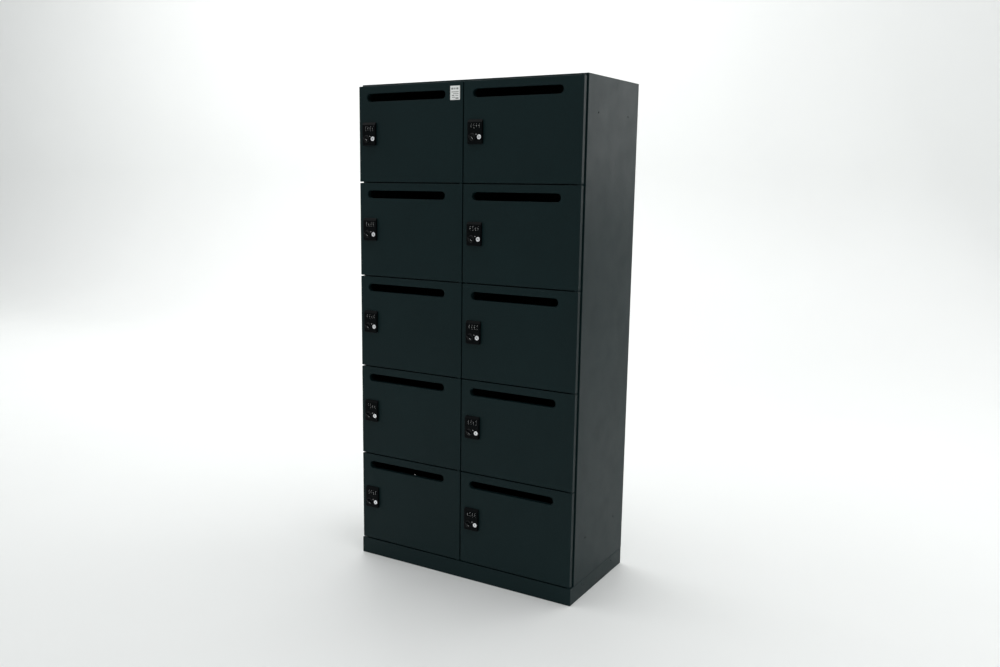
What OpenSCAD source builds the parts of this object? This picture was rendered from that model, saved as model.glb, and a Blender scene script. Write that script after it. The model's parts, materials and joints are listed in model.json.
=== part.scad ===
// Parcel locker: ten overlay doors with mail slots on a sheet-steel carcass, two columns by five rows.
// Every door has a dial lock with a turn knob, a master key cylinder and a cam that catches the carcass.
// Millimetres. +Z up, doors face -Y, +X right when facing them. Origin: centre of the base, on the floor.

/* [Carcass] */
// Overall width
body_w = 900; // [880:5:1000]
// Overall depth, doors included
body_d = 450; // [400:5:600]
// Overall height
body_h = 1790; // [1788:1:1795]
// Sheet thickness of the carcass
sheet_t = 1; // [0.8:0.1:1.2]
// Width of the front flanges of side panels and partition
flange_w = 22; // [20:1:24]

/* [Plinth] */
// Height of the plinth
plinth_h = 62; // [60:1:62]
// Sheet thickness of the plinth
plinth_t = 1.2; // [1:0.1:1.5]

/* [Doors] */
// Distance from one door to the next above it
door_pitch = 344; // [343:0.5:344.5]
// Gap between two doors
door_gap = 4; // [4:0.5:5]
// Thickness of a door
door_t = 20; // [19:0.5:20]
// Distance from the side of the carcass to the side of the door
door_inset = 4; // [3:0.5:5]
// Space between the doors and the carcass front
seat_gap = 6; // [6:0.5:7]
// Skin thickness of the doors
skin_t = 0.8; // [0.8:0.1:1]
// Radius of the bent front edges
door_r = 2; // [1.5:0.5:2.5]

/* [Mail slot] */
// Width of the slot
slot_w = 338; // [300:1:345]
// Height of the slot
slot_h = 29; // [24:1:30]
// Middle of the slot from the left edge of the door
slot_x = 204; // [200:1:210]
// Middle of the slot below the top edge of the door
slot_drop = 41; // [40:1:45]

/* [Lock] */
// Width of the lock case
case_w = 57; // [56:1:60]
// Height of the lock case
case_h = 82; // [81:1:88]
// Height of the lock case above the door
case_t = 10; // [9:0.5:11]
// Middle of the lock case from the left edge of the door
case_x = 49; // [48:1:52]
// Middle of the lock case below the top edge of the door
case_drop = 169; // [165:1:185]
// Diameter of a dial wheel
dial_d = 24; // [24:0.5:25]
// Distance between two dial wheels
dial_pitch = 10.5; // [10:0.1:11]
// Diameter of the turn knob
knob_d = 26; // [24:1:27]
// Diameter of the key cylinder's face
key_d = 12; // [11:0.5:12]
// Length of the cam from its spindle's axis
cam_l = 30; // [28:1:31]

/* [Coupling holes] */
// Diameter of the coupling holes
hole_d = 6.5; // [5:0.5:8]
// Front side hole from the door fronts
hole_front = 110; // [90:5:150]
// Distance between front and rear side holes
hole_span = 250; // [200:5:260]
// Height of the lower side holes
hole_low = 216; // [200:1:240]
// Distance between lower and upper side holes
hole_rise = 1456; // [1400:1:1480]

/* [Hidden] */
$fn = 48;
ROWS = 5;
COLUMNS = ["l", "r"];
BAYS = [for (column = [0, 1]) for (row = [1:ROWS]) [column, row]];
function bay_id(bay) = str(COLUMNS[bay[0]], bay[1]);
function bay_nodes(stem) = [for (bay = BAYS) str(stem, bay_id(bay))];

// Colours
steel_green = [0.09, 0.13, 0.14];
lock_black = [0.08, 0.09, 0.11];
zinc = [0.62, 0.64, 0.66];
chrome = [0.82, 0.83, 0.85];

// A hair's breadth that cutters run past a face
eps = 0.5;

// Carcass levels and planes
front_y = -body_d / 2;
back_y = body_d / 2;
carcass_y = front_y + door_t + seat_gap;
inner_y = carcass_y + sheet_t;
half_w = body_w / 2;
side_in = half_w - sheet_t;
first_gap_z = plinth_h + 2.5;
top_z = body_h - sheet_t;
front_lip = 23;
rear_lip = 15;
shelf_lip = 18;
weld_gap = 0.05;

// Doors
door_w = half_w - door_inset - door_gap / 2;
door_h = door_pitch - door_gap;
function door_left(column) = column == 0 ? -half_w + door_inset : door_gap / 2;
function row_gap_z(row) = first_gap_z + (ROWS - row) * door_pitch;
drain_d = 6;

// Hinge pivots
pivot_in = 9;
pivot_back = 8;
pin_d = 6;
pin_l = 13;
pin_play = 0.05;
tube_d = 12;
tube_l = 16;
bracket_t = 2;
bracket_w = 14;
collar_d = 10;
tab_h = 24;

// Lock layout, measured from the middle of the case
body_x = 3;
body_half_w = 24;
body_half_h = 36;
body_back = 26;
case_r = 4;
bevel_h = 9;
bevel_d = 7;
duct_play = 0.5;
dial_x = 4;
dial_z = 19;
dial_w = 7;
dial_y = -case_t - 1.5 + dial_d / 2;
window_w = 8;
window_h = 17;
window_wall = 1.5;
axle_d = 4;
knob_x = -9;
knob_z = -17.5;
knob_t = 3;
grip_w = 7;
grip_h = 7;
grip_tilt = 31;
spindle_d = 8;
cam_y = body_back + 2;
cam_t = 2.5;
cam_w = 14;
cam_nut_d = 13;
cam_nut_t = 3.5;
key_x = 19;
key_ring_d = 16;
key_ring_t = 2.5;
key_proud = 1.8;
key_depth = 20;
keyway_w = 2;
keyway_h = 7;
plate_margin = 5;
plate_t = 1.5;

// A rectangle with round corners, centred, made of plain squares and circles
module rounded_rect(w, h, r) {
    square([w - 2 * r, h], center = true);
    square([w, h - 2 * r], center = true);
    for (x = [-1, 1], y = [-1, 1])
        translate([x * (w / 2 - r), y * (h / 2 - r)])
            circle(r);
}

// A slot outline with round ends, centred
module stadium(w, h) {
    square([w - h, h], center = true);
    for (x = [-1, 1])
        translate([x * (w - h) / 2, 0])
            circle(d = h);
}

// Stands an XY outline up so that it faces -Y and reaches from depth y0 back to y1
module standing(y0, y1) {
    translate([0, y1, 0])
        rotate([90, 0, 0])
            linear_extrude(y1 - y0)
                children();
}

// A round bar along Y
module bar_y(d, y0, y1) {
    standing(y0, y1)
        circle(d = d);
}

// A box given by its two corners
module span(low, high) {
    translate(low)
        cube(high - low);
}

// Moves a part drawn in door coordinates (left edge, front face, bottom edge) to its bay
module at_bay(bay) {
    translate([door_left(bay[0]), front_y, row_gap_z(bay[1]) + door_gap / 2])
        children();
}

// Moves a part drawn around the middle of the lock case to its bay
module at_lock(bay) {
    at_bay(bay)
        translate([case_x, 0, door_h - case_drop])
            children();
}

// ---- Carcass ----

module side_panel(side) {
    color(steel_green)
        mirror([side < 0 ? 1 : 0, 0, 0])
            difference() {
                union() {
                    span([side_in, carcass_y, plinth_h], [half_w, back_y, top_z]);
                    span([half_w - flange_w, carcass_y, plinth_h], [half_w, inner_y, top_z]);
                    span([side_in - rear_lip, back_y - 2 * sheet_t, plinth_h],
                         [half_w, back_y - sheet_t, top_z]);
                }
                for (y = [0, hole_span], z = [0, hole_rise])
                    translate([side_in - eps, front_y + hole_front + y, hole_low + z])
                        rotate([0, 90, 0])
                            cylinder(h = sheet_t + 2 * eps, d = hole_d);
            }
}

// Upright web and the front strip spot-welded to its edge, two pieces of sheet
module centre_partition() {
    color(steel_green) {
        span([-sheet_t / 2, inner_y + weld_gap, plinth_h + sheet_t],
             [sheet_t / 2, back_y - sheet_t, top_z]);
        span([-flange_w, carcass_y, plinth_h], [flange_w, inner_y, top_z]);
    }
}

// Front lips of a full-width panel, one in each column, between the upright flanges
module column_lips(z0, z1) {
    for (x = [flange_w - half_w, flange_w])
        span([x, carcass_y, z0], [x + half_w - 2 * flange_w, inner_y, z1]);
}

module top_panel() {
    color(steel_green)
        union() {
            span([-half_w, carcass_y, top_z], [half_w, back_y, body_h]);
            column_lips(top_z - front_lip, top_z);
        }
}

module bottom_panel() {
    color(steel_green)
        union() {
            span([-side_in, inner_y, plinth_h], [side_in, back_y - 2 * sheet_t, plinth_h + sheet_t]);
            column_lips(plinth_h, plinth_h + front_lip);
        }
}

module back_panel() {
    color(steel_green)
        span([-side_in, back_y - sheet_t, plinth_h], [side_in, back_y, top_z]);
}

// One shelf per inner gap and column: tray with a front and a rear lip turned down
module shelf(side, z) {
    mirror([side < 0 ? 1 : 0, 0, 0]) {
        x0 = sheet_t / 2;
        rear = back_y - 2 * sheet_t;
        span([x0, inner_y, z - sheet_t / 2], [side_in, rear, z + sheet_t / 2]);
        span([flange_w, carcass_y, z - shelf_lip], [half_w - flange_w, inner_y, z + sheet_t / 2]);
        span([x0, rear - sheet_t, z - rear_lip], [side_in, rear, z]);
    }
}

module shelves() {
    color(steel_green)
        for (side = [-1, 1], row = [1:ROWS - 1])
            shelf(side, row_gap_z(row));
}

// ---- Plinth and feet ----

foot_inset = 38;
foot_pad_d = 40;
foot_pad_t = 8;
foot_stud_d = 10;
gusset = 60;
plinth_lip = 15;
plinth_hole_z = 43;
plinth_hole_front = 105;
plinth_hole_span = 245;

// Repeats a shape in the four corners of the base
module at_corners(inset) {
    for (x = [inset - half_w, half_w - inset], y = [front_y + inset, back_y - inset])
        translate([x, y, 0])
            children();
}

module plinth() {
    inner_top = plinth_h - plinth_t;
    color(steel_green)
        difference() {
            span([-half_w, front_y, 0], [half_w, back_y, plinth_h]);
            span([-half_w + plinth_t, front_y + plinth_t, plinth_t],
                 [half_w - plinth_t, back_y - plinth_t, inner_top]);
            span([-half_w + plinth_lip, front_y + plinth_lip, -eps],
                 [half_w - plinth_lip, back_y - plinth_lip, plinth_t + eps]);
            difference() {
                span([-half_w + plinth_lip, front_y + plinth_lip, inner_top - eps],
                     [half_w - plinth_lip, back_y - plinth_lip, plinth_h + eps]);
                at_corners(gusset / 2)
                    translate([-gusset / 2, -gusset / 2, inner_top])
                        cube(gusset);
            }
            at_corners(foot_inset)
                translate([0, 0, inner_top - eps])
                    cylinder(h = plinth_h, d = foot_stud_d + 2 * pin_play);
            for (x = [-1, 1], y = [0, plinth_hole_span])
                translate([x * (half_w - plinth_t / 2), front_y + plinth_hole_front + y, plinth_hole_z])
                    rotate([0, 90, 0])
                        cylinder(h = 2 * plinth_t, d = hole_d, center = true);
        }
}

// Pad, threaded stud drawn plain, and lock nut under the gusset, for each corner
module levelling_feet() {
    nut_d = 17;
    nut_t = 6;
    stud_top = plinth_h - 0.5;
    nut_z = plinth_h - plinth_t - nut_t;
    color(zinc)
        at_corners(foot_inset) {
            cylinder(h = foot_pad_t, d = foot_pad_d);
            cylinder(h = stud_top, d = foot_stud_d);
            translate([0, 0, nut_z])
                difference() {
                    cylinder(h = nut_t, d = nut_d, $fn = 6);
                    translate([0, 0, -eps])
                        cylinder(h = nut_t + 2 * eps, d = foot_stud_d + 2 * pin_play);
                }
        }
}

// ---- Hinges ----

// One bracket: tab on the carcass front, arm in the door gap, pins into the doors above and below
module hinge_bracket(x, z, up, down) {
    pin_root = door_gap / 2;
    tab_low = up ? (down ? -tab_h / 2 : -bracket_t / 2) : -tab_h;
    translate([x, front_y + pivot_back, z]) {
        arm_end = carcass_y - front_y - pivot_back;
        translate([0, 0, -bracket_t / 2])
            cylinder(h = bracket_t, d = bracket_w);
        span([-bracket_w / 2, 0, -bracket_t / 2], [bracket_w / 2, arm_end, bracket_t / 2]);
        span([-bracket_w / 2, arm_end - bracket_t, tab_low],
             [bracket_w / 2, arm_end, tab_low + tab_h]);
        if (up) {
            cylinder(h = pin_root - pin_play, d = collar_d);
            cylinder(h = pin_root + pin_l, d = pin_d);
        }
        if (down)
            mirror([0, 0, 1]) {
                cylinder(h = pin_root - pin_play, d = collar_d);
                cylinder(h = pin_root + pin_l, d = pin_d);
            }
    }
}

module hinge_brackets() {
    color(steel_green)
        for (column = [0, 1], level = [0:ROWS])
            hinge_bracket(door_left(column) + door_w - pivot_in, first_gap_z + level * door_pitch,
                          level < ROWS, level > 0);
}

// ---- Doors ----

// Outline of a block w by d whose two front corners are round
module front_rounded(w, d, r) {
    translate([0, r])
        square([w, d - r]);
    translate([r, 0])
        square([w - 2 * r, d]);
    for (x = [r, w - r])
        translate([x, r])
            circle(r);
}

// Block of the door with round front edges on all four sides
module door_block() {
    intersection() {
        linear_extrude(door_h)
            front_rounded(door_w, door_t, door_r);
        rotate([90, 0, 90])
            linear_extrude(door_w)
                translate([0, door_h])
                    rotate(-90)
                        front_rounded(door_h, door_t, door_r);
    }
}

module door_pivots(d, l) {
    for (z = [-eps, door_h + eps - l])
        translate([door_w - pivot_in, pivot_back, z])
            cylinder(h = l, d = d);
}

module slot_bar(grow, y0, y1) {
    translate([slot_x, 0, door_h - slot_drop])
        standing(y0, y1)
            stadium(slot_w + 2 * grow, slot_h + 2 * grow);
}

module lock_duct(grow, y0, y1) {
    half_x = body_half_w + duct_play + grow;
    half_z = body_half_h + duct_play + grow;
    translate([case_x + body_x, 0, door_h - case_drop])
        span([-half_x, y0, -half_z], [half_x, y1, half_z]);
}

// Welded double-skin door: closed shell with a slot duct, a lock duct, hinge tubes and drain holes
module door(bay) {
    color(steel_green)
        at_bay(bay)
            difference() {
                door_block();
                difference() {
                    span([skin_t, skin_t, skin_t], [door_w - skin_t, door_t - skin_t, door_h - skin_t]);
                    slot_bar(skin_t, 0, door_t);
                    lock_duct(skin_t, 0, door_t);
                    door_pivots(tube_d, tube_l);
                }
                slot_bar(0, -eps, door_t + eps);
                lock_duct(0, -eps, door_t + eps);
                door_pivots(pin_d + 2 * pin_play, tube_l + 2 * eps);
                for (x = [door_w / 4, door_w / 2])
                    translate([x, door_t / 2, -eps])
                        cylinder(h = skin_t + 2 * eps, d = drain_d);
            }
}

// ---- Lock ----

// Wedge above the sloped top of the case
module top_bevel() {
    top = case_h / 2;
    translate([-case_w, 0, 0])
        rotate([90, 0, 90])
            linear_extrude(2 * case_w)
                polygon([[-case_t, top - bevel_h], [bevel_d - case_t, top], [bevel_d - case_t, top + eps],
                         [-case_t - eps, top + eps], [-case_t - eps, top - bevel_h]]);
}

// Case on the door, body through it, dial chamber with windows, and seats for knob and cylinder
module lock_housing() {
    chamber_half_w = 1.5 * dial_pitch + dial_w / 2 + 1;
    chamber_half_h = dial_d / 2 + 1;
    difference() {
        union() {
            standing(-case_t, 0)
                rounded_rect(case_w, case_h, case_r);
            span([body_x - body_half_w, -eps, -body_half_h],
                 [body_x + body_half_w, body_back, body_half_h]);
        }
        top_bevel();
        span([dial_x - chamber_half_w, window_wall - case_t, dial_z - chamber_half_h],
             [dial_x + chamber_half_w, dial_y + dial_d / 2 + 1, dial_z + chamber_half_h]);
        for (i = [-1.5:1.5])
            translate([dial_x + i * dial_pitch - window_w / 2, -case_t - eps, dial_z - window_h / 2])
                cube([window_w, window_wall + 2 * eps, window_h]);
        translate([knob_x, 0, knob_z])
            bar_y(spindle_d + 2 * pin_play, -case_t - eps, body_back + eps);
        translate([key_x, 0, knob_z])
            bar_y(key_d + 2 * pin_play, -case_t - eps, key_depth);
    }
}

// Clamp plate that holds the lock body from behind the door
module lock_plate() {
    translate([body_x, 0, 0])
        difference() {
            standing(door_t, door_t + plate_t)
                rounded_rect(2 * (body_half_w + plate_margin), 2 * (body_half_h + plate_margin), case_r);
            span([-body_half_w - pin_play, door_t - eps, -body_half_h - pin_play],
                 [body_half_w + pin_play, door_t + plate_t + eps, body_half_h + pin_play]);
        }
}

module lock_case(bay) {
    axle_half = 1.5 * dial_pitch + dial_w / 2 + 1 - pin_play;
    ring_back = -case_t - pin_play;
    at_lock(bay) {
        color(lock_black) {
            lock_housing();
            lock_plate();
        }
        color(zinc)
            translate([dial_x - axle_half, dial_y, dial_z])
                rotate([0, 90, 0])
                    cylinder(h = 2 * axle_half, d = axle_d);
        color(chrome)
            translate([key_x, 0, knob_z])
                difference() {
                    bar_y(key_ring_d, ring_back - key_ring_t, ring_back);
                    bar_y(key_d + 2 * pin_play, ring_back - key_ring_t - eps, ring_back + eps);
                }
    }
}

// Four dial wheels side by side on the axle
module lock_dials(bay) {
    color(lock_black)
        at_lock(bay)
            for (i = [-1.5:1.5])
                translate([dial_x + i * dial_pitch - dial_w / 2, dial_y, dial_z])
                    rotate([0, 90, 0])
                        difference() {
                            cylinder(h = dial_w, d = dial_d);
                            translate([0, 0, -eps])
                                cylinder(h = dial_w + 2 * eps, d = axle_d + 2 * pin_play);
                        }
}

// Knob with its spindle, the cam hanging down behind the door, and the cam's nut
module lock_knob(bay) {
    nut_y = cam_y + cam_t + pin_play;
    spindle_end = nut_y + cam_nut_t;
    face_y = -case_t - pin_play;
    clear_d = spindle_d + 2 * pin_play;
    at_lock(bay)
        translate([knob_x, 0, knob_z]) {
            color(lock_black) {
                bar_y(knob_d, face_y - knob_t, face_y);
                rotate([0, grip_tilt, 0])
                    span([-knob_d / 2 + 1, face_y - knob_t - grip_h, -grip_w / 2],
                         [knob_d / 2 - 1, face_y - knob_t + eps, grip_w / 2]);
            }
            color(zinc) {
                bar_y(spindle_d, face_y - eps, spindle_end);
                difference() {
                    union() {
                        bar_y(cam_w, cam_y, cam_y + cam_t);
                        span([-cam_w / 2, cam_y, -cam_l], [cam_w / 2, cam_y + cam_t, 0]);
                    }
                    bar_y(clear_d, cam_y - eps, cam_y + cam_t + eps);
                }
                difference() {
                    translate([0, spindle_end, 0])
                        rotate([90, 0, 0])
                            cylinder(h = cam_nut_t, d = cam_nut_d, $fn = 6);
                    bar_y(clear_d, cam_y, spindle_end + eps);
                }
            }
        }
}

// Master key cylinder plug with its keyway
module key_cylinder(bay) {
    face_y = -case_t - key_proud;
    color(chrome)
        at_lock(bay)
            translate([key_x, 0, knob_z])
                difference() {
                    bar_y(key_d, face_y, key_depth - pin_play);
                    span([-keyway_w / 2, face_y - eps, -keyway_h / 2],
                         [keyway_w / 2, face_y + case_t, keyway_h / 2]);
                }
}

side_panel(-1);  // side_panel_left
side_panel(1);  // side_panel_right
centre_partition();
top_panel();
bottom_panel();
back_panel();
shelves();
plinth();
levelling_feet();
hinge_brackets();
for (bay = BAYS) {
    door(bay);
    lock_case(bay);
    lock_dials(bay);
    lock_knob(bay);
    key_cylinder(bay);
}
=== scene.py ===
"""Looks of the parcel locker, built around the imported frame. Metres, +Z up, doors face -Y."""
import json
import math
import random

import bmesh
import bpy
from mathutils import Matrix, Vector

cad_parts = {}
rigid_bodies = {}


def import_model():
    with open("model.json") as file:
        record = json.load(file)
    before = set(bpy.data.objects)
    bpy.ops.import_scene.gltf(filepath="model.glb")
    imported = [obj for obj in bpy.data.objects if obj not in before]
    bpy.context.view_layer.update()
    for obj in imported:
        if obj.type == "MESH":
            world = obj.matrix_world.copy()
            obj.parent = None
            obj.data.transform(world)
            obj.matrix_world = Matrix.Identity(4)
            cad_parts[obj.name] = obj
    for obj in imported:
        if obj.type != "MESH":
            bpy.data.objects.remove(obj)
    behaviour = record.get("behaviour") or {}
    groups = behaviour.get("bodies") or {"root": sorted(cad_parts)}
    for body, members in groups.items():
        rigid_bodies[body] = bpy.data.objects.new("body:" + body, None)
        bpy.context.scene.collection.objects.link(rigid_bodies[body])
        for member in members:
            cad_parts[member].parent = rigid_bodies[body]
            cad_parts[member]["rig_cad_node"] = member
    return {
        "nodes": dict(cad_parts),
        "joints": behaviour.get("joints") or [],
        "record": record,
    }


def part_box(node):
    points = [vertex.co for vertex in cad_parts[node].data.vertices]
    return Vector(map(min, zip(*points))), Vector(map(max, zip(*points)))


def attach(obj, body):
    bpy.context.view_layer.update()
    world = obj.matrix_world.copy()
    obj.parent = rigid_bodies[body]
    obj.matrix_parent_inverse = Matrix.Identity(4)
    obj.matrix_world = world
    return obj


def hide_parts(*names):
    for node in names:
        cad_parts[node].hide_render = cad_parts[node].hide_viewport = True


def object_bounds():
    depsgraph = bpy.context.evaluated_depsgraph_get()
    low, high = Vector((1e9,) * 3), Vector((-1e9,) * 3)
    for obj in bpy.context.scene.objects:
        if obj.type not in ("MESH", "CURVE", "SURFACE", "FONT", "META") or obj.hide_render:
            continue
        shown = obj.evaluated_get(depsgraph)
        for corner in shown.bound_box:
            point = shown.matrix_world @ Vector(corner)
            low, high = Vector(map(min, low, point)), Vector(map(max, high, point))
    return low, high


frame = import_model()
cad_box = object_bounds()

MM = 0.001
JOINT_AT = {joint["name"]: Vector(joint["pos_m"]) for joint in frame["joints"]}
BAYS = sorted(node[len("door_"):] for node in frame["nodes"] if node.startswith("door_"))
LOW, HIGH = cad_box
SHEET = 1.0 * MM            # thickness of the carcass sheet
BEND = 1.6 * MM             # outer radius of its bends
FRONT_LIP = 22 * MM         # width of the side panels' front flanges
DOOR_LIP = 14 * MM          # depth of the lips that run back from behind the doors
SHARP = math.radians(40)    # edges that turn by more are rounded by a bevel


# ---- Camera ----

def make_camera():
    """Stands right of the middle, above the locker's mid height, and looks slightly down."""
    place = Vector((1.7325, -3.0237, 1.4629))
    yaw, pitch, roll = math.radians(32.04), math.radians(10.015), math.radians(0.41)
    forward = Vector((-math.sin(yaw) * math.cos(pitch), math.cos(yaw) * math.cos(pitch),
                      -math.sin(pitch)))
    level = Vector((math.cos(yaw), math.sin(yaw), 0))
    right = level * math.cos(roll) + level.cross(forward) * math.sin(roll)
    turn = Matrix((right, right.cross(forward), -forward)).transposed()
    data = bpy.data.cameras.new("camera")
    data.sensor_width = 36
    data.lens = 33.9
    data.shift_x = 0.0431
    data.shift_y = 0.0096
    camera = bpy.data.objects.new("camera", data)
    camera.matrix_world = Matrix.Translation(place) @ turn.to_4x4()
    bpy.context.scene.collection.objects.link(camera)
    bpy.context.scene.camera = camera


# ---- Materials ----

class Finish:
    """A Principled material whose patterns are read in object coordinates."""

    def __init__(self, name, **sockets):
        self.material = bpy.data.materials.new(name)
        self.material.use_nodes = True
        self.nodes = self.material.node_tree.nodes
        self.shader = self.nodes["Principled BSDF"]
        self.place = self.nodes.new("ShaderNodeTexCoord").outputs["Object"]
        self.normal = None
        for socket, value in sockets.items():
            self.shader.inputs[socket.replace("_", " ")].default_value = value

    def link(self, source, target):
        self.material.node_tree.links.new(source, target)

    def noise(self, scale, detail):
        """Fractal noise; scale is in features per metre."""
        noise = self.nodes.new("ShaderNodeTexNoise")
        noise.inputs["Scale"].default_value = scale
        noise.inputs["Detail"].default_value = detail
        self.link(self.place, noise.inputs["Vector"])
        return noise.outputs["Fac"]

    def cells(self, scale):
        """Random grey per Voronoi cell."""
        cells = self.nodes.new("ShaderNodeTexVoronoi")
        cells.inputs["Scale"].default_value = scale
        self.link(self.place, cells.inputs["Vector"])
        grey = self.nodes.new("ShaderNodeRGBToBW")
        self.link(cells.outputs["Color"], grey.inputs["Color"])
        return grey.outputs["Val"]

    def colours(self, pattern, *stops):
        """Base colour from a pattern, through a ramp of (position, colour) stops."""
        ramp = self.nodes.new("ShaderNodeValToRGB")
        elements = ramp.color_ramp.elements
        while len(elements) < len(stops):
            elements.new(0.5)
        for element, (position, colour) in zip(elements, stops):
            element.position = position
            element.color = (*colour, 1)
        self.link(pattern, ramp.inputs["Fac"])
        self.link(ramp.outputs["Color"], self.shader.inputs["Base Color"])

    def spread(self, pattern, lowest, highest, low=0.0, high=1.0):
        """Stretches the values of a pattern between lowest and highest to low and high."""
        ranged = self.nodes.new("ShaderNodeMapRange")
        limits = {"From Min": lowest, "From Max": highest, "To Min": low, "To Max": high}
        for socket, value in limits.items():
            ranged.inputs[socket].default_value = value
        self.link(pattern, ranged.inputs["Value"])
        return ranged.outputs["Result"]

    def edges(self, reach):
        """Up to 1 within that reach (metres) of an edge, 0 on flat faces, broken up by noise."""
        softened = self.nodes.new("ShaderNodeBevel")
        softened.samples = 4
        softened.inputs["Radius"].default_value = reach
        actual = self.nodes.new("ShaderNodeNewGeometry")
        likeness = self.nodes.new("ShaderNodeVectorMath")
        likeness.operation = "DOT_PRODUCT"
        self.link(softened.outputs["Normal"], likeness.inputs[0])
        self.link(actual.outputs["Normal"], likeness.inputs[1])
        wear_and_highlight = self.nodes.new("ShaderNodeMath")
        wear_and_highlight.operation = "MULTIPLY"
        self.link(self.spread(likeness.outputs["Value"], 0.99, 0.85), wear_and_highlight.inputs[0])
        self.link(self.spread(self.noise(45.0, 5.0), 0.35, 0.6, 0.35, 1.0), wear_and_highlight.inputs[1])
        return wear_and_highlight.outputs["Value"]

    def layer(self, mask, colour):
        """Lays a colour over the base colour, as strongly as the mask says."""
        mix = self.nodes.new("ShaderNodeMix")
        mix.data_type = "RGBA"
        factor, below, above = (next(i for i in mix.inputs if i.identifier == key)
                                for key in ("Factor_Float", "A_Color", "B_Color"))
        base = self.shader.inputs["Base Color"]
        self.link(mask, factor)
        self.link(base.links[0].from_socket, below)
        above.default_value = (*colour, 1)
        self.link(next(o for o in mix.outputs if o.identifier == "Result_Color"), base)

    def rough(self, pattern, low, high):
        """Roughness between low and high."""
        self.link(self.spread(pattern, 0.3, 0.7, low, high), self.shader.inputs["Roughness"])

    def bump(self, pattern, height, strength=1.0):
        """Relief of that height in metres; a second call adds to the first."""
        bump = self.nodes.new("ShaderNodeBump")
        bump.inputs["Distance"].default_value = height
        bump.inputs["Strength"].default_value = strength
        self.link(pattern, bump.inputs["Height"])
        if self.normal:
            self.link(self.normal, bump.inputs["Normal"])
        self.normal = bump.outputs["Normal"]
        self.link(self.normal, self.shader.inputs["Normal"])


def powder_coat(name):
    """Dark green-grey satin powder coat: fine orange peel on sheet that is never quite flat."""
    base = Vector((0.0043, 0.0128, 0.0138))
    finish = Finish(name, Specular_IOR_Level=0.1)
    finish.colours(finish.noise(3.0, 4.0), (0.35, base * 0.92), (0.65, base * 1.08))
    grains = finish.noise(1100.0, 2.0)
    finish.layer(finish.spread(grains, 0.4, 0.68, 0.0, 0.5), base * 1.9)
    finish.layer(finish.edges(1.2 * MM), base * 2.4)
    finish.rough(finish.noise(14.0, 3.0), 0.38, 0.44)
    finish.bump(finish.noise(1.6, 1.0), 0.8 * MM, 0.2)
    finish.bump(grains, 0.12 * MM, 0.6)
    return finish.material


def moulding(name, colour, low, high, grain, gloss=0.2):
    """Moulded plastic with edges worn paler and lightened as a painted highlight; the grain's height is
    in mm.
    """
    base = Vector(colour)
    finish = Finish(name, Specular_IOR_Level=gloss)
    finish.colours(finish.noise(60.0, 3.0), (0.3, base * 0.85), (0.7, base * 1.2))
    # paler edges: wear, and a painted highlight where the edges would catch the light
    finish.layer(finish.edges(0.7 * MM), base * 3.5)
    finish.rough(finish.noise(220.0, 2.0), low, high)
    finish.bump(finish.noise(2600.0, 2.0), grain * MM, 0.5)
    return finish.material


def metal(name, colour, low, high):
    """Polished metal with fine, even marks."""
    base = Vector(colour)
    finish = Finish(name, Metallic=1.0)
    finish.colours(finish.noise(80.0, 3.0), (0.3, base * 0.9), (0.7, base * 1.06))
    finish.rough(finish.noise(900.0, 3.0), low, high)
    finish.bump(finish.noise(900.0, 3.0), 0.01 * MM, 0.4)
    return finish.material


def zinc(name):
    """Zinc-plated steel with faint spangle."""
    finish = Finish(name, Metallic=1.0)
    finish.colours(finish.cells(420.0), (0.0, (0.42, 0.43, 0.44)), (1.0, (0.62, 0.63, 0.64)))
    finish.rough(finish.noise(300.0, 3.0), 0.28, 0.42)
    finish.bump(finish.noise(700.0, 2.0), 0.02 * MM, 0.4)
    return finish.material


def paper(name, colour):
    """Coated paper of the label."""
    base = Vector(colour)
    finish = Finish(name)
    finish.colours(finish.noise(400.0, 4.0), (0.3, base * 0.95), (0.7, base))
    finish.rough(finish.noise(150.0, 2.0), 0.4, 0.5)
    finish.bump(finish.noise(1800.0, 3.0), 0.01 * MM, 0.3)
    return finish.material


def ink(name, colour):
    """Printed marks, slightly uneven; the pale one also colours the knob's painted highlight line."""
    base = Vector(colour)
    finish = Finish(name)
    finish.colours(finish.noise(1500.0, 3.0), (0.3, base * 0.8), (0.7, base))
    finish.rough(finish.noise(700.0, 2.0), 0.45, 0.6)
    return finish.material


def matt_paint(name, colour):
    """Plain pale paint of the studio."""
    base = Vector(colour)
    finish = Finish(name)
    finish.colours(finish.noise(1.2, 3.0), (0.3, base * 0.985), (0.7, base))
    finish.rough(finish.noise(4.0, 2.0), 0.5, 0.6)
    return finish.material


# ---- Mesh building ----

def placed(name, mesh, at=(0, 0, 0)):
    """An object with that mesh, which other objects may share."""
    piece = bpy.data.objects.new(name, mesh)
    piece.location = at
    bpy.context.scene.collection.objects.link(piece)
    return piece


def as_piece(name, bm, materials, crease=32):
    """Turns a bmesh into an object whose edges are sharp from crease degrees up."""
    limit = math.radians(crease)
    for edge in bm.edges:
        edge.smooth = len(edge.link_faces) == 2 and edge.calc_face_angle(0) < limit
    mesh = bpy.data.meshes.new(name)
    bm.to_mesh(mesh)
    bm.free()
    for material in materials:
        mesh.materials.append(material)
    return placed(name, mesh)


def finish_mesh(name, bm, materials, crease=32):
    """Welds a bmesh and turns it into a smooth-shaded object with flat faces kept flat."""
    bmesh.ops.remove_doubles(bm, verts=bm.verts, dist=1e-6)
    bmesh.ops.recalc_face_normals(bm, faces=bm.faces)
    for face in bm.faces:
        face.smooth = True
    piece = as_piece(name, bm, materials, crease)
    keep_flat(piece)
    return piece


def keep_flat(piece):
    """Shades large faces flat beside rounded edges."""
    piece.modifiers.new("flat faces", "WEIGHTED_NORMAL").keep_sharp = True


def soften(piece, width):
    """Rounds the sharp edges of a piece."""
    soft = piece.modifiers.new("edges", "BEVEL")
    soft.width = width
    soft.segments = 2
    soft.limit_method = "ANGLE"
    soft.angle_limit = SHARP


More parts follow.
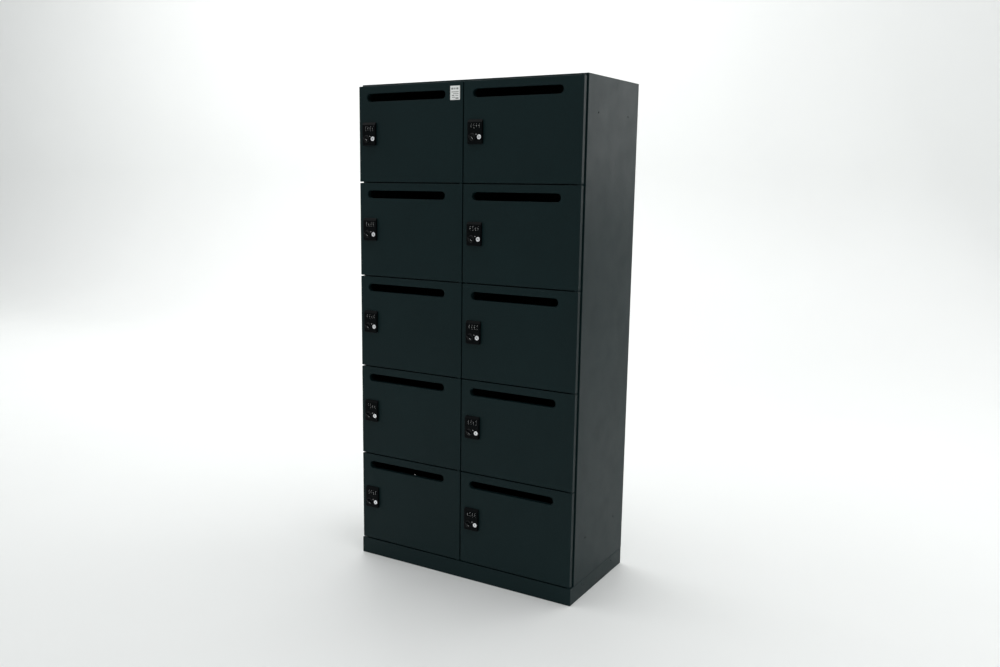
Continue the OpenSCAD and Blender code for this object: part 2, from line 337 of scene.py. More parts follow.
def loft(bm, rings, caps=True, cyclic=False, material=0):
    """Skin over rings of points that all have the same count; returns the vertex rings.

    It is closed by a cap at each end or, if cyclic, by joining the last ring to the first."""
    rows = [[bm.verts.new(point) for point in ring] for ring in rings]
    for a, b in zip(rows, rows[1:] + rows[:1] if cyclic else rows[1:]):
        for i in range(len(a)):
            j = (i + 1) % len(a)
            bm.faces.new((a[i], a[j], b[j], b[i])).material_index = material
    if caps and not cyclic:
        for row in (rows[0], rows[-1]):
            bm.faces.new(row).material_index = material
    return rows


def arc(centre, radius, start, end, steps):
    """Points on a 2D arc, angles in degrees."""
    angles = [math.radians(start + (end - start) * i / steps) for i in range(steps + 1)]
    x, y = centre
    return [Vector((x + radius * math.cos(a), y + radius * math.sin(a))) for a in angles]


def rounded_rect(w, h, r, steps=4):
    """Outline of a rectangle with round corners about the origin, anticlockwise from its right side."""
    r = max(r, 0.01 * MM)
    x, y = w / 2 - r, h / 2 - r
    corners = ((x, y, 0), (-x, y, 90), (-x, -y, 180), (x, -y, 270))
    return [p for cx, cy, a in corners for p in arc((cx, cy), r, a, a + 90, steps)]


def stadium(w, h):
    """Outline of a slot with round ends about the origin, anticlockwise from its lower right."""
    steps = 12
    r = h / 2
    x = w / 2 - r
    return arc((x, 0), r, -90, 90, steps) + arc((-x, 0), r, 90, 270, steps)


def circle(r, steps=48):
    """Outline of a circle about the origin."""
    return arc((0, 0), r, 0, 360 - 360 / steps, steps - 1)


def facing(outline, y, x=0.0, z=0.0):
    """Stands a 2D outline up in the XZ plane at depth y."""
    return [Vector((x + p[0], y, z + p[1])) for p in outline]


def edge_profile(r, steps=4):
    """(inset, depth) pairs of a quarter-round edge, from the flat face to the side."""
    turns = [math.radians(90 * i / steps) for i in range(steps + 1)]
    return [(r * (1 - math.sin(t)), r * (1 - math.cos(t))) for t in turns]


def turned(bm, profile, axis_x=0.0, axis_z=0.0, steps=48, material=0):
    """Body of revolution about a line along Y, from (radius, y) pairs."""
    loft(bm, [facing(circle(r, steps), y, axis_x, axis_z) for r, y in profile], material=material)


def block(bm, low, high, r=0.3 * MM, steps=2, material=0):
    """A box whose edges are rounded."""
    low, high = Vector(low), Vector(high)
    size, middle = high - low, (low + high) / 2
    r = min(r, min(size) * 0.45)
    made = bmesh.ops.create_cube(bm, size=1.0)["verts"]
    bmesh.ops.scale(bm, vec=size, verts=made)
    bmesh.ops.translate(bm, vec=middle, verts=made)
    edges = dict.fromkeys(edge for vert in made for edge in vert.link_edges)  # each once, in order
    bevelled = bmesh.ops.bevel(bm, geom=list(edges), offset=r, segments=steps, profile=0.5,
                               affect="EDGES")
    for face in {f for v in bevelled["verts"] for f in v.link_faces} | set(bevelled["faces"]):
        face.material_index = material


def folded_outline(path, thickness=SHEET, bend=BEND):
    """Outline of bent sheet that lies to the left of the path; bend is the outer radius."""
    steps = 3
    path = [Vector(p) for p in path]
    near, far = [], []

    def left(a, b):
        run = (b - a).normalized()
        return Vector((-run.y, run.x))

    near.append(path[0])
    far.append(path[0] + left(path[0], path[1]) * thickness)
    for a, corner, b in zip(path, path[1:], path[2:]):
        n1, n2 = left(a, corner), left(corner, b)
        side = 1 if n1.x * n2.y - n1.y * n2.x > 0 else -1
        reach = bend if side > 0 else bend - thickness
        centre = corner + (n1 + n2) * (side * reach / (1 + n1.dot(n2)))
        for i in range(steps + 1):
            n = n1.slerp(n2, i / steps)
            near.append(centre - n * side * reach)
            far.append(centre - n * (side * reach - thickness))
    near.append(path[-1])
    far.append(path[-1] + left(path[-2], path[-1]) * thickness)
    return near + far[::-1]


def upright(bm, outline, z0, z1):
    """Solid from an outline drawn in plan, between two heights."""
    loft(bm, [[Vector((p.x, p.y, z)) for p in outline] for z in (z0, z1)])


def across(bm, outline, x0, x1):
    """Solid from an outline drawn as (y, z), between two places along X."""
    loft(bm, [[Vector((x, p.x, p.y)) for p in outline] for x in (x0, x1)])


def applied(piece, cutters, edge=0.0):
    """Cuts the cutters out of a piece, rounds its sharp edges and bakes that into its mesh."""
    for cutter in cutters:
        cut = piece.modifiers.new("cut", "BOOLEAN")
        cut.object = cutter
        cut.operation = "DIFFERENCE"
        cut.solver = "EXACT"
    if edge:
        soften(piece, edge)
    piece.modifiers.move(piece.modifiers.find("flat faces"), len(piece.modifiers) - 1)
    shaped = evaluated_mesh(piece)
    piece.modifiers.clear()
    old, piece.data = piece.data, shaped
    shaped.name = old.name
    bpy.data.meshes.remove(old)
    for cutter in cutters:
        mesh = cutter.data
        bpy.data.objects.remove(cutter)
        bpy.data.meshes.remove(mesh)
    return piece


def evaluated_mesh(piece):
    """A new mesh of a piece with its modifiers applied."""
    bpy.context.view_layer.update()
    return bpy.data.meshes.new_from_object(piece.evaluated_get(bpy.context.evaluated_depsgraph_get()))


def cutter(build):
    """A temporary object made by build(bm)."""
    bm = bmesh.new()
    build(bm)
    return finish_mesh("cutter", bm, [])


def hang(piece, body, nodes=()):
    """Rides a finished piece on its body, and hides the CAD nodes it replaces."""
    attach(piece, body)
    if nodes:
        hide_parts(*nodes)


# ---- Carcass ----

def coupled(piece, *mounts):
    """Cuts bolt holes along X for those mounts; their walls take the piece's second material, a black
    that paints shade into the holes.
    """
    radius, reach = 3.25 * MM, 4 * MM

    def build(bm):
        for centre in (c for name in mounts for c in hole_centres(name)):
            loft(bm, [[centre + Vector((x, p.x, p.y)) for p in circle(radius, 32)]
                      for x in (-reach, reach)], material=1)

    applied(piece, [cutter(build)])


def hole_centres(name):
    """Hole centres of a bolt pattern on one side of the locker."""
    mount = next(m for m in frame["record"]["mounts"] if m["name"] == name)
    middle, dims = Vector(mount["pos_m"]), mount["dims"]
    half_y = dims["spacing_x_mm"] * MM / 2
    half_z = dims.get("spacing_y_mm", 0) * MM / 2
    return [middle + Vector((0, y, z)) for y in (-half_y, half_y) for z in sorted({-half_z, half_z})]


def side_panel(node, side, coat, painted_hole_shade):
    """Web with a front and a rear flange and coupling holes; a seam is left above the plinth."""
    low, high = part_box(node)
    outer = high.x if side > 0 else low.x
    rear_lip = 16 * MM
    path = [(outer - side * rear_lip, high.y - SHEET), (outer, high.y - SHEET), (outer, low.y),
            (outer - side * FRONT_LIP, low.y)]
    if side > 0:
        path.reverse()
    bm = bmesh.new()
    seam = low.z + 1.6 * MM
    upright(bm, folded_outline(path), seam, high.z)
    web = (outer - SHEET * side, high.y - SHEET)
    block(bm, (min(web[0], outer), web[1], seam), (max(web[0], outer), high.y, high.z))
    piece = finish_mesh(node + "_folded", bm, [coat, painted_hole_shade])
    # the coupling holes' walls are painted black as shade
    coupled(piece, "side_coupling_right" if side > 0 else "side_coupling_left")
    hang(piece, "carcass", [node])


def partition(coat):
    """Upright between the columns: web and a front strip that both columns close against."""
    low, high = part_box("centre_partition")
    bm = bmesh.new()
    block(bm, (-SHEET / 2, low.y + SHEET, low.z + SHEET), (SHEET / 2, high.y, high.z), 0.2 * MM)
    hem, depth, thin, fold = 4 * MM, 1.7 * MM, 0.7 * MM, 0.8 * MM
    path = [(low.x + hem, low.y + depth), (low.x, low.y + depth), (low.x, low.y), (high.x, low.y),
            (high.x, low.y + depth), (high.x - hem, low.y + depth)]
    upright(bm, folded_outline(path, thin, fold), low.z, high.z)
    piece = finish_mesh("centre_partition_folded", bm, [coat])
    hang(piece, "carcass", ["centre_partition"])


def columns():
    """X spans of the open front of each column, between the upright flanges."""
    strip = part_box("centre_partition")[1].x
    return [(LOW.x + FRONT_LIP, -strip), (strip, HIGH.x - FRONT_LIP)]


def top_panel(coat):
    """Roof sheet with front lips behind the doors."""
    low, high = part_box("top_panel")
    bm = bmesh.new()
    block(bm, (low.x, low.y, high.z - SHEET), high, 0.45 * MM, 3)
    for x0, x1 in columns():
        path = [(low.y + DOOR_LIP, high.z - SHEET), (low.y, high.z - SHEET), (low.y, low.z)]
        across(bm, folded_outline(path), x0, x1)
    piece = finish_mesh("top_panel_folded", bm, [coat])
    hang(piece, "carcass", ["top_panel"])


def bottom_panel(coat):
    """Floor of the lowest compartments, with its front edge turned up."""
    low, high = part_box("bottom_panel")
    bm = bmesh.new()
    block(bm, (low.x, low.y + SHEET, low.z), (high.x, high.y, low.z + SHEET), 0.2 * MM)
    for x0, x1 in columns():
        path = [(low.y, high.z), (low.y, low.z), (low.y + DOOR_LIP, low.z)]
        across(bm, folded_outline(path), x0, x1)
    piece = finish_mesh("bottom_panel_folded", bm, [coat])
    hang(piece, "carcass", ["bottom_panel"])


def back_panel(coat):
    """Back sheet with the spot welds of the shelves' rear lips."""
    low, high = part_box("back_panel")
    bm = bmesh.new()
    block(bm, low, high, 0.2 * MM)
    for z in (low.z + (high.z - low.z) * k / 5 for k in range(1, 5)):
        weld_row(bm, low, high, z)
    piece = finish_mesh("back_panel_sheet", bm, [coat])
    hang(piece, "carcass", ["back_panel"])


def weld_row(bm, low, high, z):
    """Shallow spot-weld dimples along the line where a shelf's rear lip is welded on."""
    count = 9
    for i in range(count):
        x = low.x + (high.x - low.x) * (i + 0.5) / count
        profile = [(3.2 * MM, high.y - 0.02 * MM), (3.0 * MM, high.y), (2.4 * MM, high.y),
                   (2.0 * MM, high.y - 0.15 * MM)]
        turned(bm, profile, x, z, 20)


def shelves(coat):
    """Eight trays, each with a front lip and a rear lip turned down."""
    low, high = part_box("shelves")
    levels = sorted({JOINT_AT["door_hinge_" + bay].z for bay in BAYS})
    rise = levels[1] - levels[0]
    bm = bmesh.new()
    for level in levels[1:]:
        z = level - rise / 2
        top = z + SHEET / 2
        tray = folded_outline([(high.y, z - 15 * MM), (high.y, top), (low.y + SHEET, top)])
        lip = folded_outline([(low.y + DOOR_LIP, top), (low.y, top), (low.y, z - 18 * MM)])
        for span, walls in zip(columns(), ((low.x, -SHEET / 2), (SHEET / 2, high.x))):
            across(bm, tray, *walls)
            across(bm, lip, *span)
    piece = finish_mesh("shelf_trays", bm, [coat])
    hang(piece, "carcass", ["shelves"])


def plinth(coat, painted_hole_shade):
    """Base frame with a flange turned in at the top and bottom, corner plates and a front ledge."""
    low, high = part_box("plinth")
    size, middle = high - low, (low + high) / 2
    t, bend, lip, corner = 1.2 * MM, 2.0 * MM, 15 * MM, 1.6 * MM
    path = [(lip, high.z), (0, high.z), (0, low.z), (lip, low.z)]
    bm = bmesh.new()
    rings = []
    for inset, z in folded_outline(path, t, bend):
        ring = rounded_rect(size.x - 2 * inset, size.y - 2 * inset, corner - inset)
        rings.append([Vector((p.x + middle.x, p.y + middle.y, z)) for p in ring])
    loft(bm, rings, cyclic=True)
    for x in (-1, 1):
        for y in (-1, 1):
            outer = Vector((x * (high.x - 3 * MM), y * (high.y - 3 * MM), high.z - t - 0.2 * MM))
            inner = Vector((x * (high.x - 60 * MM), y * (high.y - 60 * MM), high.z - 2.4 * MM))
            corners = [Vector(map(f, outer, inner)) for f in (min, max)]
            block(bm, *corners)
    carcass_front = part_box("side_panel_left")[0].y
    block(bm, (low.x + lip, low.y + lip - t, high.z - t),
          (high.x - lip, carcass_front + lip, high.z - 0.05 * MM))
    piece = finish_mesh("plinth_frame", bm, [coat, painted_hole_shade])
    # the coupling holes' walls are painted black as shade
    coupled(piece, "plinth_coupling_left", "plinth_coupling_right")
    hang(piece, "carcass", ["plinth"])


def levelling_feet(steel, rubber):
    """Four feet: rubber pad, threaded stud and lock nut."""
    low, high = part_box("levelling_feet")
    pad_r, stud_r, nut_r = 20 * MM, 5 * MM, 8.3 * MM
    pitch, turns = 1.5 * MM, 30
    bm = bmesh.new()
    for x in (low.x + pad_r, high.x - pad_r):
        for y in (low.y + pad_r, high.y - pad_r):
            def ring(r, z, steps=40):
                return [Vector((x + p.x, y + p.y, z)) for p in circle(r, steps)]
            pad = [(pad_r - 1.5 * MM, low.z), (pad_r, low.z + 1.5 * MM), (pad_r, low.z + 3.5 * MM)]
            loft(bm, [ring(r, z) for r, z in pad], material=1)
            cap = [(pad_r - 1 * MM, low.z + 3.5 * MM), (pad_r - 1 * MM, low.z + 6 * MM),
                   (pad_r - 3 * MM, low.z + 8 * MM), (stud_r + 1 * MM, low.z + 8 * MM)]
            loft(bm, [ring(r, z) for r, z in cap])
            thread = []
            for k in range(turns):
                z = low.z + 8 * MM + k * pitch
                thread += [(stud_r - 0.7 * MM, z), (stud_r, z + pitch / 2)]
            loft(bm, [ring(r, z, 24) for r, z in thread if z < high.z - 0.2 * MM])
            nut_low, nut_high = high.z - 7 * MM, high.z - 1.4 * MM
            flats = [(nut_r - 1 * MM, nut_low), (nut_r, nut_low + 0.8 * MM),
                     (nut_r, nut_high - 0.8 * MM), (nut_r - 1 * MM, nut_high)]
            loft(bm, [ring(r, z, 6) for r, z in flats])
    piece = finish_mesh("levelling_feet_turned", bm, [steel, rubber])
    hang(piece, "carcass", ["levelling_feet"])


def hinge_brackets(coat):
    """The CAD brackets are kept: their split vertices are welded and their edges rounded."""
    brackets = frame["nodes"]["hinge_brackets"]
    brackets.data.materials.clear()
    brackets.data.materials.append(coat)
    brackets.modifiers.new("weld", "WELD").merge_threshold = 0.002 * MM
    soften(brackets, 0.3 * MM)
    keep_flat(brackets)


# ---- Doors ----

def split_ring(w, h, r, slot_z):
    """Door outline from a point on its right side at the slot's height, with one opposite it."""
    ring = rounded_rect(w, h, r)
    steps = len(ring) // 4
    right, left = Vector((w / 2, slot_z)), Vector((-w / 2, slot_z))
    return [right] + ring[:2 * steps] + [left] + ring[2 * steps:]


def door(bay, coat):
    """Door with rounded front edges, a liner in its back, a rolled mail slot and a lock cut-out."""
    node = "door_" + bay
    low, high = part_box(node)
    middle, size = (low + high) / 2, high - low
    slot_w, slot_h = 338 * MM, 29 * MM
    slot_x, slot_z = low.x + 204 * MM - middle.x, high.z - 41 * MM - middle.z
    edge, corner, rolled = 2 * MM, 2.2 * MM, 1.2 * MM
    liner_in, liner_up = 13 * MM, 0.8 * MM
    outside = [(inset, low.y + depth) for inset, depth in edge_profile(edge)]
    outside += [(inset, high.y - liner_up - depth) for inset, depth in edge_profile(1 * MM, 3)[::-1]]
    outside += [(liner_in, high.y - liner_up), (liner_in + 0.1 * MM, high.y - 0.3 * MM),
                (liner_in + 0.5 * MM, high.y)]
    bm = bmesh.new()

    def outer_ring(inset, y):
        ring = split_ring(size.x - 2 * inset, size.z - 2 * inset, corner - inset, slot_z)
        return facing(ring, y, middle.x, middle.z)

    shell = loft(bm, [outer_ring(*pair) for pair in outside], caps=False)
    bore = [(-inset, low.y + depth) for inset, depth in edge_profile(rolled)]
    bore += [(-inset, high.y - depth) for inset, depth in edge_profile(rolled)[::-1]]
    rings = [facing(stadium(slot_w - 2 * inset, slot_h - 2 * inset), y,
                    middle.x + slot_x, middle.z + slot_z) for inset, y in bore]
    duct = loft(bm, rings, caps=False)
    fill_between(bm, shell[0], duct[0])
    fill_between(bm, shell[-1], duct[-1])
    piece = finish_mesh(node + "_shell", bm, [coat])
    play = 0.5 * MM
    lock = lock_place(bay) + Vector((BODY_X - play, 0, 0))
    reach = Vector((BODY_W / 2 - play, 2 * size.y, BODY_H / 2 + play))
    applied(piece, [cutter(lambda bm: block(bm, lock - reach, lock + reach))])
    hang(piece, node, [node])


def fill_between(bm, outer, inner):
    """Closes the flat face between the door's outline and its slot with an upper and a lower part."""
    half_out = len(outer) // 2
    quarter = len(inner) // 4
    tips = inner[quarter:] + inner[:quarter]
    half_in = len(tips) // 2
    upper = outer[:half_out + 1] + tips[:half_in + 1][::-1]
    lower = outer[half_out:] + [outer[0], tips[0]] + tips[half_in:][::-1]
    for ring in (upper, lower):
        bm.faces.new(ring)


def buffers(bay, rubber):
    """Two rubber buffers on the back of a door, just short of the carcass front."""
    node = "door_" + bay
    low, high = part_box(node)
    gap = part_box("side_panel_left")[0].y - high.y
    profile = [(5 * MM, high.y - 1 * MM), (5 * MM, high.y + gap * 0.5),
               (4.4 * MM, high.y + gap * 0.75), (3 * MM, high.y + gap * 0.85)]
    bm = bmesh.new()
    for z in (low.z + 30 * MM, high.z - 80 * MM):
        turned(bm, profile, low.x + 8 * MM, z, 28)
    hang(finish_mesh(node + "_buffers", bm, [rubber]), node)


def bay_label(bay, white, grey):
    """Plain white label with grey bars where words would be."""
    low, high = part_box("door_" + bay)
    w, h, t = 39 * MM, 47 * MM, 0.25 * MM
    x, z = high.x - 31.5 * MM, high.z - 37.5 * MM
    bm = bmesh.new()
    rings = [facing(rounded_rect(w - 2 * inset, h - 2 * inset, 1.5 * MM), y, x, z)
             for inset, y in ((0, low.y), (0, low.y - t * 0.6), (0.1 * MM, low.y - t))]
    loft(bm, rings)
    front, sunk = Vector((0, low.y - t - 0.04 * MM, 0)), Vector((0, low.y - t * 0.5, 0))
    # middle, width and height of each bar in mm
    bars = [(-11, 14, 9, 6), (-1, 14, 5, 6), (9, 14, 8, 6), (0, 3, 28, 2.4), (3, -3, 22, 2),
            (-8, -9, 10, 3.5), (7, -9, 12, 2), (-6, -15, 14, 2), (8, -18, 12, 5)]
    for bx, bz, bw, bh in bars:
        middle = Vector((x + bx * MM, 0, z + bz * MM))
        half = Vector((bw * MM / 2, 0, bh * MM / 2))
        block(bm, middle - half + front, middle + half + sunk, 0.02 * MM, 1, material=1)
    hang(finish_mesh("door_" + bay + "_label", bm, [white, grey]), "door_" + bay)


# ---- Locks ----
# Each mesh is built once, about the middle of the case on the door's face or about the axis of
# the knob or key, and then placed in every bay.

CASE_W, CASE_H, CASE_T = 57 * MM, 82 * MM, 10 * MM
FACE = -CASE_T              # y of the case's front face
KNOB = Vector((-9 * MM, 0, -17.5 * MM))     # axes of knob and key from the case's middle
PLUG = Vector((19 * MM, 0, -17.5 * MM))
BODY_X, BODY_W, BODY_H = 3 * MM, 48 * MM, 72 * MM
DIAL_X, DIAL_Z, DIAL_PITCH, DIAL_R, DIAL_W = 4 * MM, 19 * MM, 10.5 * MM, 12 * MM, 7 * MM
DIAL_Y = FACE - 1.5 * MM + DIAL_R
WHEELS = [DIAL_X + (i - 1.5) * DIAL_PITCH for i in range(4)]
DIGIT_STEP = math.tau / 10


def lock_place(bay):
    """Middle of a bay's lock case, on the door's face."""
    return JOINT_AT["knob_turn_" + bay] - KNOB


def case_mesh(black):
    """Lock case with a sloped top, four dial windows, and recesses round the knob and cylinder."""
    bm = bmesh.new()
    sides = [(inset, FACE + depth) for inset, depth in edge_profile(1.2 * MM)]
    sides += [(0, -0.4 * MM), (0.4 * MM, 0)]
    loft(bm, [facing(rounded_rect(CASE_W - 2 * i, CASE_H - 2 * i, 4 * MM - i, 6), y) for i, y in sides])
    case = finish_mesh("lock_case", bm, [black])

    def slope(bm):
        top, drop, depth, far = CASE_H / 2, 9 * MM, 7 * MM, 20 * MM
        profile = [(FACE, top - drop), (FACE + depth, top), (FACE + depth, top + far),
                   (FACE - far, top + far), (FACE - far, top - drop)]
        loft(bm, [[Vector((x, *p)) for p in profile] for x in (-CASE_W, CASE_W)])

    def windows(bm):
        outline = rounded_rect(8 * MM, 17 * MM, 1.2 * MM)
        for x in WHEELS:
            loft(bm, [facing(outline, y, x, DIAL_Z) for y in (FACE - 2 * MM, FACE + 5 * MM)])

    def recesses(bm):
        for at, radius, depth in ((KNOB, 14.2 * MM, 0.6 * MM), (PLUG, 8.6 * MM, 0.5 * MM)):
            turned(bm, [(radius, FACE - 2 * MM), (radius, FACE + depth)], at.x, at.z)

    applied(case, [cutter(slope), cutter(windows), cutter(recesses)], 0.35 * MM)
    return case.data


def wheel_well_mesh(black, pale):
    """Ribs beside and between the wheels, and a small pale dot above and between the knob and the key.
    """
    bm = bmesh.new()
    half_w, half_h = 0.9 * MM, 11 * MM
    for x in [WHEELS[0] - DIAL_PITCH / 2, *(w + DIAL_PITCH / 2 for w in WHEELS)]:
        block(bm, (x - half_w, FACE + 1 * MM, DIAL_Z - half_h), (x + half_w, -1 * MM, DIAL_Z + half_h))
    dot = [(1.5 * MM, FACE + 0.3 * MM), (1.5 * MM, FACE - 0.04 * MM), (1.3 * MM, FACE - 0.08 * MM)]
    turned(bm, dot, 6.2 * MM, -8.5 * MM, 20, 1)
    return finish_mesh("lock_well", bm, [black, pale]).data


def digit_shapes():
    """Flat faces of the digits 0 to 9, centred, as (vertices, faces)."""
    shapes = []
    for digit in "0123456789":
        curve = bpy.data.curves.new("digit", "FONT")
        curve.body = digit
        curve.size = 6.6 * MM
        curve.align_x = "CENTER"
        curve.align_y = "CENTER"
        curve.resolution_u = 3
        holder = placed("digit", curve)
        mesh = evaluated_mesh(holder)
        points = [v.co.copy() for v in mesh.vertices]
        faces = [tuple(p.vertices) for p in mesh.polygons]
        bpy.data.objects.remove(holder)
        bpy.data.curves.remove(curve)
        bpy.data.meshes.remove(mesh)
        shapes.append((points, faces))
    return shapes


def add_wheel(bm, x, turn, shapes):
    """One dial wheel: digit band, serrated grip band and ten digits just above the band."""
    band_r, grip_r, teeth, steps = DIAL_R - 0.25 * MM, DIAL_R, 30, 120
    notch, narrow = 0.7 * MM, 0.78
    left, seam, right = x - DIAL_W / 2, x + 0.9 * MM, x + DIAL_W / 2

    def ring(at, radius, depth=0.0):
        points = []
        for i in range(steps):
            a = math.tau * i / steps
            r = radius - depth * (0.5 + 0.5 * math.cos(a * teeth))
            points.append(Vector((at, DIAL_Y + r * math.cos(a), DIAL_Z + r * math.sin(a))))
        return points

    loft(bm, [ring(left, band_r - 1.2 * MM), ring(left, band_r - 0.4 * MM),
              ring(left + 0.4 * MM, band_r), ring(seam, band_r),
              ring(seam + 0.1 * MM, grip_r, notch), ring(right - 0.4 * MM, grip_r, notch),
              ring(right, grip_r - 0.9 * MM)])
    middle, raised = (left + seam) / 2 + 0.1 * MM, band_r + 0.03 * MM
    for digit, (points, faces) in enumerate(shapes):
        verts = []
        for p in points:
            a = turn + digit * DIGIT_STEP - p.y / raised
            verts.append(bm.verts.new((middle + p.x * narrow, DIAL_Y - raised * math.cos(a),
                                       DIAL_Z - raised * math.sin(a))))
        for face in faces:
            bm.faces.new([verts[i] for i in face]).material_index = 1


def dials(bay, shapes, rng, black, pale):
    """The four wheels of one lock, standing at numbers of their own."""
    bm = bmesh.new()
    for x in WHEELS:
        add_wheel(bm, x, rng.randrange(10) * DIGIT_STEP, shapes)
    bmesh.ops.recalc_face_normals(bm, faces=[f for f in bm.faces if f.material_index == 0])
    for face in bm.faces:
        face.smooth = face.material_index == 0
    return as_piece("lock_" + bay + "_dials", bm, [black, pale])


def knob_mesh(black, pale):
    """Turn knob: chamfered disc, a grip bar narrower in its middle and a pale line along the grip, a
    painted highlight.
    """
    bm = bmesh.new()
    face, r = FACE - 0.05 * MM, 13 * MM
    grip_l, grip_w, waist, slant = 24 * MM, 7 * MM, 0.16, 31
    turned(bm, [(r - 1.5 * MM, face + 0.4 * MM), (r, face - 0.2 * MM), (r, face - 1.8 * MM),
                (r - 1.2 * MM, face - 3 * MM)])
    grip = [(0, face - 2.5 * MM), (0.3 * MM, face - 5 * MM), (0.5 * MM, face - 8.5 * MM),
            (0.8 * MM, face - 9.6 * MM), (1.5 * MM, face - 10 * MM)]
    rings = []
    for inset, y in grip:
        ring = rounded_rect(grip_l - 2 * inset, grip_w - 2 * inset, 3.2 * MM - inset, 6)
        for p in ring:
            p.y *= 1 - waist * math.cos(p.x / (grip_l / 2) * math.pi / 2)
        rings.append(facing(ring, y))
    loft(bm, rings)
    # pale line on the grip: a painted highlight along the bar's edge
    painted_highlight_line = (3 * MM, face - 10 * MM, -0.6 * MM), (10.5 * MM, face - 9.6 * MM, 0.6 * MM)
    block(bm, *painted_highlight_line, 0.02 * MM, 1, 1)
    bmesh.ops.rotate(bm, verts=bm.verts, cent=Vector(),
                     matrix=Matrix.Rotation(math.radians(slant), 3, "Y"))
    return finish_mesh("lock_knob", bm, [black, pale]).data


def cam_mesh(steel):
    """Spindle, and the flat hanging cam and its nut behind the door."""
    bm = bmesh.new()
    back = 28 * MM
    turned(bm, [(4 * MM, -9 * MM), (4 * MM, 34 * MM), (3.4 * MM, 34.5 * MM)], steps=32)
    tip = -26 * MM
    outline = arc((0, 0), 7 * MM, 0, 180, 14) + [Vector((-7 * MM, tip))]
    outline += arc((-3 * MM, tip), 4 * MM, 180, 270, 4) + arc((3 * MM, tip), 4 * MM, 270, 360, 4)
    levels = [(0.3 * MM, back), (0, back + 0.3 * MM), (0, back + 2.2 * MM),
              (0.3 * MM, back + 2.5 * MM)]
    loft(bm, [facing([p * (1 - inset / (14 * MM)) for p in outline], y) for inset, y in levels])
    nut = [(5.7 * MM, back + 2.6 * MM), (6.5 * MM, back + 3.2 * MM), (6.5 * MM, back + 5.4 * MM),
           (5.7 * MM, back + 6 * MM)]
    turned(bm, nut, steps=6)
    return finish_mesh("lock_cam", bm, [steel]).data


def ring_mesh(chrome):
    """Bright ring round the key cylinder."""
    bm = bmesh.new()
    # radius and depth from the case's face, in mm
    profile = [(7.9, 0.3), (8.0, -0.3), (8.0, -1.6), (7.7, -2.2), (7.2, -2.5), (6.7, -2.4),
               (6.3, -2.0), (6.1, -1.6), (6.1, 0.3)]
    loft(bm, [facing(circle(r * MM), FACE + y * MM) for r, y in profile], cyclic=True)
    return finish_mesh("lock_ring", bm, [chrome], 50).data


def plug_mesh(chrome):
    """Key plug with its keyway."""
    bm = bmesh.new()
    face = FACE - 1.8 * MM
    turned(bm, [(6 * MM, 19.9 * MM), (6 * MM, face + 0.3 * MM), (5.7 * MM, face)])
    plug = finish_mesh("lock_plug", bm, [chrome])

    def keyway(bm):
        outline = arc((0, 1.6 * MM), 1.5 * MM, -48, 228, 20)
        outline += [Vector((x, -3.4 * MM)) for x in (-1 * MM, 1 * MM)]
        loft(bm, [facing(outline, y) for y in (face - 2 * MM, face + 9 * MM)])

    applied(plug, [cutter(keyway)], 0.12 * MM)
    return plug.data


def body_mesh(black, steel):
    """Lock body behind the case, with its clamp plate and four pan-head screws."""
    bm = bmesh.new()
    front, back = 13.5 * MM, 26 * MM
    rear = [(0, front), (0, back - 1 * MM), (0.3 * MM, back - 0.3 * MM), (1 * MM, back)]
    loft(bm, [facing(rounded_rect(BODY_W - 2 * i, BODY_H - 2 * i, 2 * MM - i), y, BODY_X)
              for i, y in rear])
    plate = [(0, 19.9 * MM), (0, 21.2 * MM), (0.3 * MM, 21.5 * MM)]
    plate_w, plate_h = BODY_W + 10 * MM, BODY_H + 10 * MM
    loft(bm, [facing(rounded_rect(plate_w - 2 * i, plate_h - 2 * i, 4 * MM - i), y, BODY_X)
              for i, y in plate], material=1)
    head = [(2.2 * MM, 21.4 * MM), (2.2 * MM, 22.2 * MM), (1.7 * MM, 22.8 * MM), (0.8 * MM, 23.05 * MM)]
    for x in (-1, 1):
        for z in (-1, 1):
            turned(bm, head, BODY_X + x * 26.4 * MM, z * 35 * MM, 20, 1)
    return finish_mesh("lock_body", bm, [black, steel]).data


def clear_models():
    """Removes the objects that the shared lock meshes were built on."""
    for piece in list(bpy.context.scene.objects):
        if piece.name.startswith("lock_") and "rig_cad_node" not in piece:
            bpy.data.objects.remove(piece)


def locks(black, gloss, pale, chrome, steel):
    """A complete lock in every bay."""
    shapes = digit_shapes()
    rng = random.Random(4)
    case, knob, cam = case_mesh(black), knob_mesh(gloss, pale), cam_mesh(steel)
    ring, plug, rear = ring_mesh(chrome), plug_mesh(chrome), body_mesh(black, steel)
    well = wheel_well_mesh(black, pale)
    clear_models()
    for bay in BAYS:
        at = lock_place(bay)
        stem, body = "lock_" + bay, "door_" + bay
        hang(placed(stem + "_case", case, at), body, ["lock_case_" + bay])
        hang(placed(stem + "_well", well, at), body)
        hang(placed(stem + "_body", rear, at), body)
        hang(placed(stem + "_ring", ring, at + PLUG), body)
        hang(placed(stem + "_knob", knob, at + KNOB), "knob_" + bay, ["lock_knob_" + bay])
        hang(placed(stem + "_cam", cam, at + KNOB), "knob_" + bay)
        hang(placed(stem + "_plug", plug, at + PLUG), "cylinder_" + bay,
             ["key_cylinder_" + bay])
        wheels = dials(bay, shapes, rng, black, pale)
        wheels.location = at
        hang(wheels, "dials_" + bay, ["lock_dials_" + bay])


# ---- Studio ----

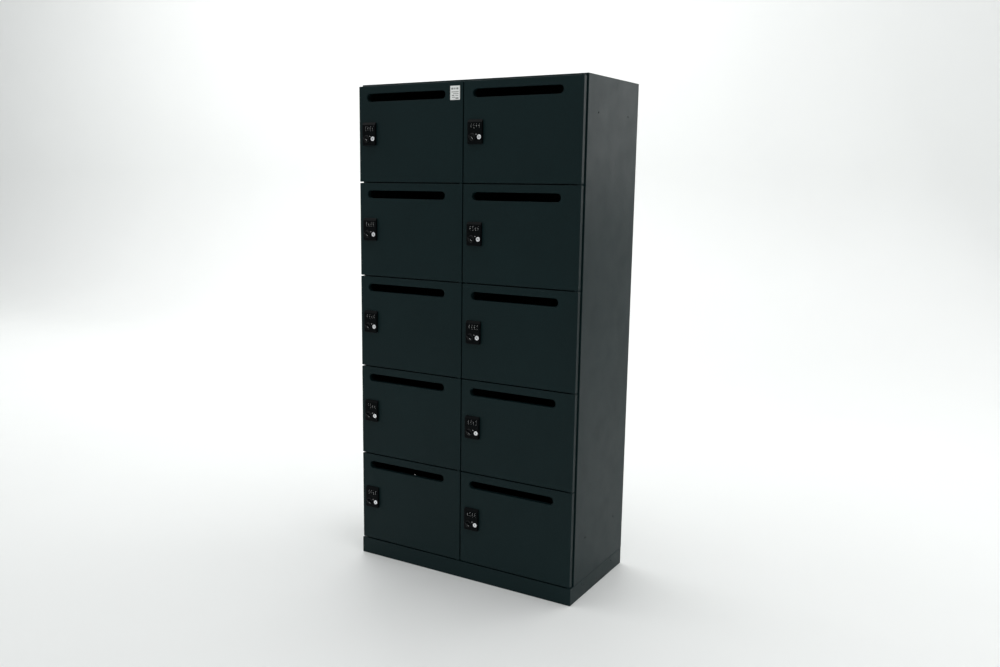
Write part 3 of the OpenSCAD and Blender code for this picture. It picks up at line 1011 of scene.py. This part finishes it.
def studio():
    """Pale floor that curves up into a backdrop, with light from above, on the backdrop's left
    and from behind at the right."""
    bm = bmesh.new()
    reach, wall_y, wall_h, curve = 16.0, 4.5, 9.0, 1.5
    outline = [Vector((-reach, 0)), Vector((wall_y - curve, 0))]
    outline += arc((wall_y - curve, curve), curve, -90, 0, 16)[1:] + [Vector((wall_y, wall_h))]
    rows = [[bm.verts.new((x, p.x, p.y)) for p in outline] for x in (-reach, reach)]
    for i in range(len(outline) - 1):
        bm.faces.new((rows[0][i], rows[1][i], rows[1][i + 1], rows[0][i + 1]))
    floor = finish_mesh("floor", bm, [matt_paint("pale_floor", (0.82, 0.83, 0.82))])
    world = bpy.data.worlds.new("studio")
    world.use_nodes = True
    background = world.node_tree.nodes["Background"].inputs
    background["Color"].default_value = (0.97, 0.99, 1.0, 1)
    background["Strength"].default_value = 0.58
    bpy.context.scene.world = world
    bpy.context.scene.view_settings.view_transform = "Standard"
    softbox("top_light", (-0.3, 0.3, 5.0), (-0.3, 0.3, 0), 9.0, 5.0, 200)
    softbox("wall_light", (-5.0, 1.0, 4.5), (-6.0, 4.5, 1.5), 8.0, 1.5, 150)
    softbox("side_light", (2.5, 3.4, 2.3), (0.45, 0, 1.3), 2.2, 1.8, 24)


def softbox(name, place, target, width, height, power):
    """Rectangular area light aimed at a point."""
    data = bpy.data.lights.new(name, "AREA")
    data.shape = "RECTANGLE"
    data.size, data.size_y, data.energy = width, height, power
    light = bpy.data.objects.new(name, data)
    light.location = place
    light.rotation_mode = "QUATERNION"
    light.rotation_quaternion = (Vector(target) - Vector(place)).to_track_quat("-Z", "Y")
    light.visible_camera = False
    bpy.context.scene.collection.objects.link(light)


def main():
    make_camera()
    studio()
    coat = powder_coat("powder_coat")
    black = moulding("lock_black", (0.0018, 0.0026, 0.0031), 0.34, 0.44, 0.03, 0.05)
    gloss = moulding("knob_black", (0.0015, 0.0022, 0.0027), 0.2, 0.3, 0.01, 0.16)
    rubber = moulding("rubber", (0.02, 0.02, 0.02), 0.7, 0.85, 0.06)
    pale = ink("pale_marks", (0.6, 0.61, 0.6))
    chrome = metal("chrome", (0.88, 0.89, 0.91), 0.12, 0.22)
    steel = zinc("zinc_steel")
    # black also paints shade on the walls of the coupling holes in the side panels and plinth
    side_panel("side_panel_left", -1, coat, black)
    side_panel("side_panel_right", 1, coat, black)
    partition(coat)
    top_panel(coat)
    bottom_panel(coat)
    back_panel(coat)
    shelves(coat)
    plinth(coat, black)
    levelling_feet(steel, rubber)
    hinge_brackets(coat)
    for bay in BAYS:
        door(bay, coat)
        buffers(bay, rubber)
    white, grey = paper("label_white", (0.85, 0.86, 0.84)), ink("label_grey", (0.3, 0.31, 0.3))
    bay_label("l1", white, grey)
    locks(black, gloss, pale, chrome, steel)


main()
